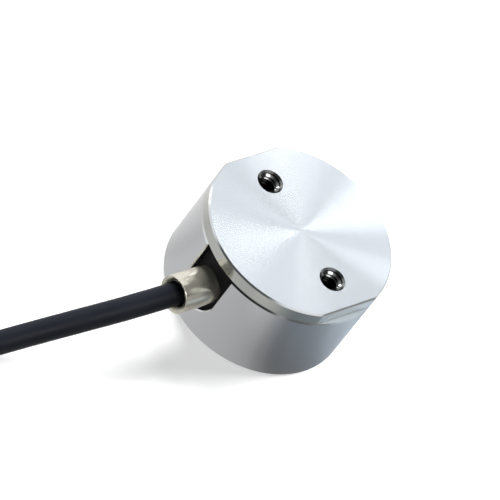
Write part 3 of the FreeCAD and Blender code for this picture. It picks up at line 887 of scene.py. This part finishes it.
@dataclass
class Housing:
    """Polished sleeve with its round-ended slot.

    Sizes are in millimetres. lean holds the limits of a chamfer's normal, as a share straight out of the wall.
    """

    radius: float = 12.5
    bore: float = 10.5
    low: float = 0.15
    high: float = 11.95
    slot_half: float = 2.85
    slot_centre: float = 6.2
    slot_past: float = 1.0
    chamfer_width: float = 0.15
    chamfer_height: float = 0.26
    wall_fine: float = 0.012
    slot_fine: float = 0.03
    lean: tuple[float, float] = (0.5, 0.97)
    sharp_angle: float = 20.0
    steps: int = 256
    slot_steps: int = 96

    def build(self) -> None:
        """Turns the sleeve with its chamfered rims, cuts its slot and breaks the slot's edge."""
        inside = self.radius - self.chamfer_width
        ring = [
            (self.bore, self.low), (inside, self.low), (self.radius, self.low + self.chamfer_height),
            (self.radius, self.high - self.chamfer_height), (inside, self.high), (self.bore, self.high),
        ]
        shell = Bench.turned("housing_shell", ring, self.steps, closed=True)
        Bench.cut(shell, self.slot_tool())
        Bench.bevel(shell, self.chamfer_width, 1, self.on_slot_edge, clamp=False)
        Bench.smooth(shell, self.sharp_angle)
        place_piece(shell, Finishes.POLISHED, "housing_sleeve")
        Finishes.EDGE.dress_where(shell, self.is_chamfer)
        Finishes.FACED.dress_where(shell, lambda face: face.normal.z > SQUARE)

    def slot_tool(self) -> Piece:
        """A round bar along Y whose upper half is drawn up past the rim.

        Returns:
            The cutting tool.
        """
        Bench.clear()
        length = self.radius
        middle = self.slot_centre * MM
        bpy.ops.mesh.primitive_cylinder_add(vertices=self.slot_steps, radius=self.slot_half * MM, depth=length * MM)
        tool = bpy.context.object
        tool.rotation_euler = (math.pi / 2, 0, 0)
        tool.location = (0, -(self.radius + self.slot_past - length / 2) * MM, middle)
        Bench.settle(tool)
        Bench.edit(tool)
        Bench.pick_vertices(tool, lambda place: place.z > middle + Bench.FINE)
        bpy.ops.transform.translate(value=(0, 0, self.high * MM))
        Bench.close()
        return tool

    def on_slot_edge(self, a: Vector, b: Vector) -> bool:
        """True for the slot's edge in the outer wall.

        Args:
            a: One end of an edge.
            b: The other end.

        Returns:
            Whether the edge is broken.
        """
        outer = all(abs(math.hypot(p.x, p.y) - self.radius * MM) < self.wall_fine * MM for p in (a, b))
        return outer and self.on_slot(a) and self.on_slot(b)

    def is_chamfer(self, face: Face) -> bool:
        """True for the faces that lean halfway out of the wall."""
        out = Vector((face.center.x, face.center.y, 0.0)).normalized().dot(face.normal)
        return self.lean[0] < out < self.lean[1]

    def on_slot(self, place: Vector) -> bool:
        """True for a point on the slot's wall.

        Args:
            place: The point, in metres.

        Returns:
            Whether it lies on the wall.
        """
        if place.y > 0:
            return False
        drop = min(0.0, place.z - self.slot_centre * MM)
        return abs(math.hypot(place.x, drop) - self.slot_half * MM) < self.slot_fine * MM


@dataclass
class Gland:
    """Plated sleeve that holds the cable. Sizes in millimetres, lengths from the column's axis."""

    height: float = 6.9
    radius: float = 2.45
    bore: float = 1.95
    lip: float = 1.65
    collar_radius: float = 3.3
    collar_back: float = 9.118
    collar_face: float = 9.918
    mouth: float = 16.9
    mouth_back: float = 15.9
    dish: float = 0.42
    rim: float = 0.1
    rim_middle: float = 0.03
    steps: int = 128

    def build(self) -> None:
        """Turns the sleeve about Z and lays it along -Y."""
        profile = [
            (self.lip, self.collar_back), (self.collar_radius, self.collar_back),
            (self.collar_radius, self.collar_face), (self.radius, self.collar_face),
            (self.radius, self.mouth - self.rim), (self.radius - self.rim_middle, self.mouth - self.rim_middle),
            (self.radius - self.rim, self.mouth), (self.lip, self.mouth - self.dish),
            (self.lip, self.mouth_back), (self.bore, self.mouth_back),
            (self.bore, self.collar_face), (self.lip, self.collar_face),
        ]
        sleeve = Bench.turned("gland_tube", profile, self.steps, closed=True)
        sleeve.rotation_euler = (math.pi / 2, 0, 0)
        sleeve.location = (0, 0, self.height * MM)
        Bench.settle(sleeve)
        Bench.smooth(sleeve)
        place_piece(sleeve, Finishes.BRASS, "gland_sleeve")


@dataclass
class Cable:
    """The signal cable from inside the cell to its stripped end.

    Sizes are in millimetres and angles in degrees. least_step is the share of a step under which the last two
    points of the tail would lie too close. smoothness and roundness set the facets along the line and round it.
    """

    diameter: float = 3.0
    length: float = 2000.0
    exit: Point = (0.0, -16.9, 6.9)
    route: tuple[Point, ...] = (
        (0.0, -7.718, 6.9), (0.0, -20.5, 6.9), (-2.1, -33.6, 3.7), (-3.4, -44.6, 1.65),
        (-2.7, -49.7, 1.55), (-0.2, -54.3, 1.9),
    )
    coil: Point = (-8.5, -73.3, 2.22)
    entry_angle: float = 51.0
    turn_radius: float = 15.0
    pitch: float = 3.05
    columns: int = 4
    layers: int = 6
    points_per_turn: int = 15
    climb_points: int = 5
    tail_height: float = 20.84
    tail_angle: float = 235.0
    least_step: float = 0.6
    order: int = 3
    smoothness: int = 5
    roundness: int = 6

    def build(self) -> None:
        line = [Vector(point) for point in self.route] + self.turns()
        data = bpy.data.curves.new("signal_cable", "CURVE")
        data.dimensions = "3D"
        spline = data.splines.new("NURBS")
        spline.points.add(len(line) - 1)
        for point, place in zip(spline.points, line):
            point.co = (*(place * MM), 1.0)
        spline.use_endpoint_u = True
        spline.order_u = self.order
        spline.resolution_u = self.smoothness
        data.bevel_depth = self.diameter / 2 * MM
        data.bevel_resolution = self.roundness
        data.use_fill_caps = True
        cable = bpy.data.objects.new("signal_cable", data)
        bpy.context.scene.collection.objects.link(cable)
        place_piece(cable, Finishes.JACKET, "cable_run", "cable_coil", "cable_tail")

    def turns(self) -> list[Vector]:
        """Points of the coil, layer on layer, and of the tail on top of it.

        Returns:
            The control points after the route, in millimetres.
        """
        step = 2 * math.pi / self.points_per_turn
        # A smooth line of the third order runs inside its points, so they stand out by this factor
        swell = 1 / (0.75 + 0.25 * math.cos(step))
        reach = (self.columns - 1) * self.pitch / 2
        outer = self.turn_radius + reach
        inner = self.turn_radius - reach
        points: list[Vector] = []
        angle = math.radians(self.entry_angle)
        height = self.coil[2]

        def put(radius: float, level: float) -> None:
            """Adds one point and goes on by one step.

            Args:
                radius: Distance of the line from the coil's axis.
                level: Its height.
            """
            nonlocal angle
            points.append(self.over_coil(radius * swell, angle, level))
            angle -= step

        def climb(radius_from: float, radius_to: float, level_from: float, level_to: float) -> None:
            """Adds a third of a turn that changes its radius or its level smoothly.

            Args:
                radius_from: Radius at the start.
                radius_to: Radius at the end.
                level_from: Height at the start.
                level_to: Height at the end.
            """
            for i in range(self.climb_points):
                share = (i + 0.5) / self.climb_points
                ease = share * share * (3 - 2 * share)
                put(radius_from + (radius_to - radius_from) * ease, level_from + (level_to - level_from) * ease)

        layer_points = (self.columns - 1) * self.points_per_turn
        for layer in range(self.layers):
            start, end = (outer, inner) if layer % 2 == 0 else (inner, outer)
            for i in range(layer_points):
                put(start + (end - start) * i / layer_points, height)
            if layer < self.layers - 1:
                climb(end, end, height, height + self.pitch)
                height += self.pitch
        climb(outer, outer, height, self.tail_height)
        climb(outer, self.turn_radius, self.tail_height, self.tail_height)
        last = math.radians(self.tail_angle - 360.0 * math.ceil((self.tail_angle - math.degrees(angle)) / 360.0))
        while angle - last > step * self.least_step:
            put(self.turn_radius, self.tail_height)
        points.append(self.over_coil(self.turn_radius, last, self.tail_height))
        return points

    def over_coil(self, radius: float, angle: float, level: float) -> Vector:
        """A point from its distance and angle about the coil's axis.

        Args:
            radius: Distance from the axis.
            angle: Angle in radians.
            level: Height.

        Returns:
            The point in millimetres.
        """
        return Vector((self.coil[0] + radius * math.cos(angle), self.coil[1] + radius * math.sin(angle), level))


@dataclass
class Fittings:
    """Solids whose form stays as it is and which only get their finish."""

    groups: tuple[tuple[Finish, tuple[str, ...]], ...] = (
        (Finishes.RUBBER, ("gland_grommet", "dust_seal", "slot_sealant")), (Finishes.BRASS, ("crimp_ring",)),
        (Finishes.BOARD, ("terminal_board",)), (Finishes.CHIP, ("trim_resistors",)),
        (Finishes.COPPER, ("gauge_leads", "lead_shield")), (Finishes.RED, ("core_red", "lead_red")),
        (Finishes.GREEN, ("core_green", "lead_green")), (Finishes.BLACK, ("core_black", "lead_black")),
        (Finishes.WHITE, ("core_white", "lead_white")), (Finishes.NYLON, ("coil_ties", "tail_shrink")),
        (Finishes.FILM, tuple(f"strain_gauge_{number}" for number in (1, 2, 3, 4))),
    )

    def build(self) -> None:
        """Dresses each solid."""
        for finish, nodes in self.groups:
            for node in nodes:
                finish.dress(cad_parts[node])
                LOG.info("solid %s in %s", node, finish.name)


@dataclass(frozen=True)
class Lamp:
    """An oval softbox that faces the load face. Lengths in metres.

    Attributes:
        name: Name of the lamp.
        way: Direction from the load face to the lamp.
        distance: Distance of the lamp.
        size: Its width and height.
        power: Its power in watts.
        role: What it lights.
    """

    name: str
    way: Point
    distance: float
    size: tuple[float, float]
    power: float
    role: Role = Role.SHEEN

    def hang(self, centre: Vector) -> None:
        """Hangs the lamp.

        Args:
            centre: Middle of the load face.
        """
        data = bpy.data.lights.new(self.name, "AREA")
        data.shape = "ELLIPSE"
        data.size, data.size_y = self.size
        data.energy = self.power
        lamp = bpy.data.objects.new(self.name, data)
        bpy.context.scene.collection.objects.link(lamp)
        direction = Vector(self.way).normalized()
        lamp.location = centre + direction * self.distance
        lamp.rotation_euler = direction.to_track_quat("Z", "Y").to_euler()
        lamp.visible_camera = False
        lamp.visible_glossy = self.role is Role.SHEEN
        lamp.visible_diffuse = self.role is Role.SHADOW


@dataclass(frozen=True)
class DarkPart:
    """A dark part of the tent, which only reflections show. Angles in degrees.

    Attributes:
        way: Its direction.
        edge: Angle from its middle where it begins.
        core: Angle from its middle where it is darkest.
        light: Share of the light that is left there.
        squash: How many times wider than high it is near the horizon.
    """

    way: Point
    edge: float
    core: float
    light: float
    squash: float = 1.0

    def missing(self, tree: Tree) -> Socket:
        """Share of the light that is missing in each direction.

        Args:
            tree: The world's tree.

        Returns:
            The socket of the missing share.
        """
        looked = tree.add("ShaderNodeTexCoord").outputs["Generated"]
        flat = tree.vector("NORMALIZE", tree.vector("MULTIPLY", looked, (1.0, 1.0, self.squash)))
        x, y, z = self.way
        toward = tree.vector("DOT_PRODUCT", flat, Vector((x, y, z * self.squash)).normalized())
        low, high = (math.cos(math.radians(angle)) for angle in (self.edge, self.core))
        return tree.ramp(toward, low, high, (0.0, 1.0 - self.light), smooth=True)


@dataclass
class Studio:
    """White floor, soft light and the camera.

    Lengths are in metres and angles in degrees. floor_shades gives the floor's shade in reflections by direction
    from the object, up to shade_top.
    """

    azimuth: float = 26.6
    elevation: float = 46.68
    roll: float = 37.74
    distance: float = 0.6217
    aim: Point = (-0.0028, -0.00225, 0.00634)
    focal: float = 360.0
    sensor: float = 36.0
    clip: tuple[float, float] = (0.05, 20.0)
    load_face: Point = (0.0, 0.0, 14.0 * MM)
    floor_size: float = 3.0
    floor_color: Color = (0.85, 0.85, 0.85)
    floor_roughness: float = 0.9
    floor_glow: float = 0.55
    floor_shades: tuple[tuple[float, float], ...] = (
        (0, 0.29), (8, 0.34), (14, 0.40), (21, 0.49), (28, 0.54), (34, 0.60), (43, 0.64), (50, 0.58), (60, 0.55),
        (72, 0.62), (110, 0.95), (150, 0.86), (165, 0.80), (181, 0.84), (194, 0.80), (210, 0.73), (224, 0.65),
        (236, 0.70), (290, 0.58), (301, 0.545), (313, 0.485), (320, 0.43), (325, 0.345), (330, 0.29), (336, 0.23),
        (342, 0.225), (347, 0.245), (354, 0.26), (360, 0.29),
    )
    shade_top: float = 2.0
    floor_cool: Color = (0.86, 0.97, 1.08)
    cool_way: Point = (0.8, 0.6, 0.0)
    cool_from: float = 3.0 * MM
    cool_to: float = 14.0 * MM
    contact_shade: float = 0.80
    far_shade: float = 1.27
    right_from: float = 9.0 * MM
    right_to: float = 15.0 * MM
    body_radius: float = 12.5 * MM
    reach: float = 13.0 * MM
    white: Color = (1.0, 1.0, 1.0)
    sky_color: Color = (0.93, 0.96, 1.0)
    sky_light: float = 0.3
    dark_parts: tuple[DarkPart, ...] = (
        DarkPart((0.06, -0.72, 0.69), 42.0, 25.0, 0.12), DarkPart((0.40, -0.90, 0.21), 30.0, 20.0, 0.04, 4.0),
        DarkPart((0.33, 0.61, 0.72), 32.0, 22.0, 0.12), DarkPart((0.77, 0.61, 0.22), 26.0, 12.0, 0.45),
        DarkPart((0.95, -0.30, 0.16), 30.0, 16.0, 0.45, 4.0), DarkPart((0.98, 0.05, -0.12), 37.0, 24.0, 0.3),
    )
    lamps: tuple[Lamp, ...] = (
        Lamp("key_right", (0.20, 0.98, 0.85), 0.55, (0.20, 0.20), 7.0, Role.SHADOW),
        Lamp("key_left", (-0.75, 0.25, 0.75), 0.55, (0.20, 0.20), 7.0, Role.SHADOW),
        Lamp("sheen_90", (-0.287, 0.85, 0.43), 0.2, (0.042, 0.02), 0.03),
        Lamp("sheen_40", (-0.09, 0.77, 0.62), 0.2, (0.024, 0.02), 0.006),
        Lamp("strip_left", (-0.95, -0.04, 0.30), 0.3, (0.15, 0.08), 0.03),
        Lamp("spot_left", (-0.747, -0.149, 0.647), 0.3, (0.025, 0.025), 0.05),
        Lamp("spot_right", (0.563, 0.16, 0.81), 0.3, (0.15, 0.12), 0.30),
        Lamp("sheen_120", (-0.41, 0.78, 0.47), 0.2, (0.02, 0.02), 0.0015),
        Lamp("sheen_0", (-0.45, 0.613, 0.65), 0.2, (0.02, 0.02), 0.003),
        Lamp("sheen_155", (-0.535, 0.715, 0.46), 0.2, (0.045, 0.02), 0.016),
    )

    def build(self) -> None:
        """Makes the camera, the floor, the world and the lamps."""
        self.camera()
        self.floor()
        self.world()
        for lamp in self.lamps:
            lamp.hang(Vector(self.load_face))
        bpy.context.scene.view_settings.view_transform = "Standard"

    def camera(self) -> None:
        """Sets the camera at the photograph's angle, with its roll."""
        turn, rise, roll = (math.radians(value) for value in (self.azimuth, self.elevation, self.roll))
        back = Vector((math.sin(turn) * math.cos(rise), -math.cos(turn) * math.cos(rise), math.sin(rise)))
        level = Vector((math.cos(turn), math.sin(turn), 0.0))
        right = math.cos(roll) * level + math.sin(roll) * back.cross(level)
        up = back.cross(right)
        data = bpy.data.cameras.new("camera")
        data.lens = self.focal
        data.sensor_width = self.sensor
        data.clip_start, data.clip_end = self.clip
        camera = bpy.data.objects.new("camera", data)
        bpy.context.scene.collection.objects.link(camera)
        turned = Matrix((right, up, back)).transposed().to_4x4()
        camera.matrix_world = Matrix.Translation(Vector(self.aim) + back * self.distance) @ turned
        bpy.context.scene.camera = camera

    def floor(self) -> None:
        """Lays the white floor, which keeps the object's shadow."""
        Bench.clear()
        bpy.ops.mesh.primitive_plane_add(size=self.floor_size)
        floor = bpy.context.object
        floor.name = "floor"
        made = bpy.data.materials.new("floor_white")
        made.use_nodes = True
        tree = Tree(made.node_tree)
        nodes = made.node_tree.nodes
        tree.fill(nodes["Principled BSDF"], {
            "Base Color": (*self.floor_color, 1.0), "Roughness": self.floor_roughness, "Specular IOR Level": 0.0,
        })
        path = tree.add("ShaderNodeLightPath").outputs
        mirrored = tree.math("MAXIMUM", path["Is Glossy Ray"], path["Is Transmission Ray"])
        place = tree.add("ShaderNodeTexCoord").outputs["Object"]
        shade = tree.math("MULTIPLY", self.mirrored_shade(tree, place), mirrored)
        glow = tree.add("ShaderNodeEmission", {
            "Color": self.mirrored_tint(tree, place, mirrored),
            "Strength": tree.math("ADD", shade, tree.math("SUBTRACT", 1.0, mirrored)),
        })
        seen = tree.math("MULTIPLY", path["Is Camera Ray"], self.floor_glow)
        mix = tree.add("ShaderNodeMixShader", {
            0: tree.math("MAXIMUM", seen, mirrored), 1: nodes["Principled BSDF"].outputs[0], 2: glow.outputs[0],
        })
        tree.fill(nodes["Material Output"], {"Surface": mix.outputs[0]})
        floor.data.materials.append(made)

    def mirrored_tint(self, tree: Tree, place: Socket,
                      mirrored: Socket) -> Socket:
        """Cool tint of the floor in reflections on the side of the lower hole.

        Args:
            tree: The floor material's tree.
            place: Object coordinates.
            mirrored: 1 in reflections.

        Returns:
            The socket of the colour.
        """
        along = tree.vector("DOT_PRODUCT", place, self.cool_way)
        side = tree.ramp(along, self.cool_from, self.cool_to, smooth=True)
        return tree.blend(tree.math("MULTIPLY", side, mirrored), self.white, self.floor_cool)

    def mirrored_shade(self, tree: Tree, place: Socket) -> Socket:
        """Shade of the floor in reflections, by direction from the object and distance from its wall.

        Args:
            tree: The floor material's tree.
            place: Object coordinates.

        Returns:
            The socket of the shade.
        """
        apart = tree.add("ShaderNodeSeparateXYZ", {0: place}).outputs
        angle = tree.math("ARCTAN2", tree.math("MULTIPLY", apart["Y"], -1.0),
                          tree.math("MULTIPLY", apart["X"], -1.0))
        share = tree.math("ADD", tree.math("DIVIDE", angle, 2 * math.pi), 0.5)
        curve = tree.add("ShaderNodeFloatCurve", {"Value": share})
        points = curve.mapping.curves[0].points
        (_, first), *others, (_, last) = self.floor_shades
        points[0].location = (0.0, first / self.shade_top)
        points[1].location = (1.0, last / self.shade_top)
        for degrees, value in others:
            points.new(degrees / 360.0, value / self.shade_top)
        curve.mapping.update()
        shade = tree.math("MULTIPLY", curve.outputs["Value"], self.shade_top)
        near = tree.ramp(tree.vector("LENGTH", place), self.body_radius, self.body_radius + self.reach,
                         (self.contact_shade, self.far_shade))
        right = tree.ramp(apart["X"], self.right_from, self.right_to, smooth=True)
        change = tree.math("MULTIPLY", tree.math("SUBTRACT", near, 1.0), right)
        return tree.math("MULTIPLY", shade, tree.math("ADD", change, 1.0))

    def world(self) -> None:
        """Sets a white surround for the camera, a cool tent with dark parts for reflections and a soft light."""
        world = bpy.data.worlds.new("studio")
        bpy.context.scene.world = world
        world.use_nodes = True
        tree = Tree(world.node_tree)
        path = tree.add("ShaderNodeLightPath").outputs
        seen = tree.math("MAXIMUM", path["Is Camera Ray"], path["Is Glossy Ray"])
        seen = tree.math("MAXIMUM", seen, path["Is Transmission Ray"])
        strength = tree.math("ADD", tree.math("MULTIPLY", seen, 1.0 - self.sky_light), self.sky_light)
        for part in self.dark_parts:
            lost = tree.math("MULTIPLY", part.missing(tree), path["Is Glossy Ray"])
            strength = tree.math("MULTIPLY", strength, tree.math("SUBTRACT", 1.0, lost))
        color = tree.blend(path["Is Camera Ray"], self.sky_color, self.white)
        tree.fill(world.node_tree.nodes["Background"], {"Color": color, "Strength": strength})


def main() -> None:
    """Builds the studio, the cable and the pieces of the load cell."""
    logging.basicConfig(level=logging.INFO, format="%(message)s")
    for name in ("Cube", "Light", "Camera"):
        if name in bpy.data.objects:
            bpy.data.objects.remove(bpy.data.objects[name])
    for part in (Studio(), Cable(), SpringElement(), Housing(), Gland(), Fittings()):
        part.build()


if __name__ == "__main__":
    main()
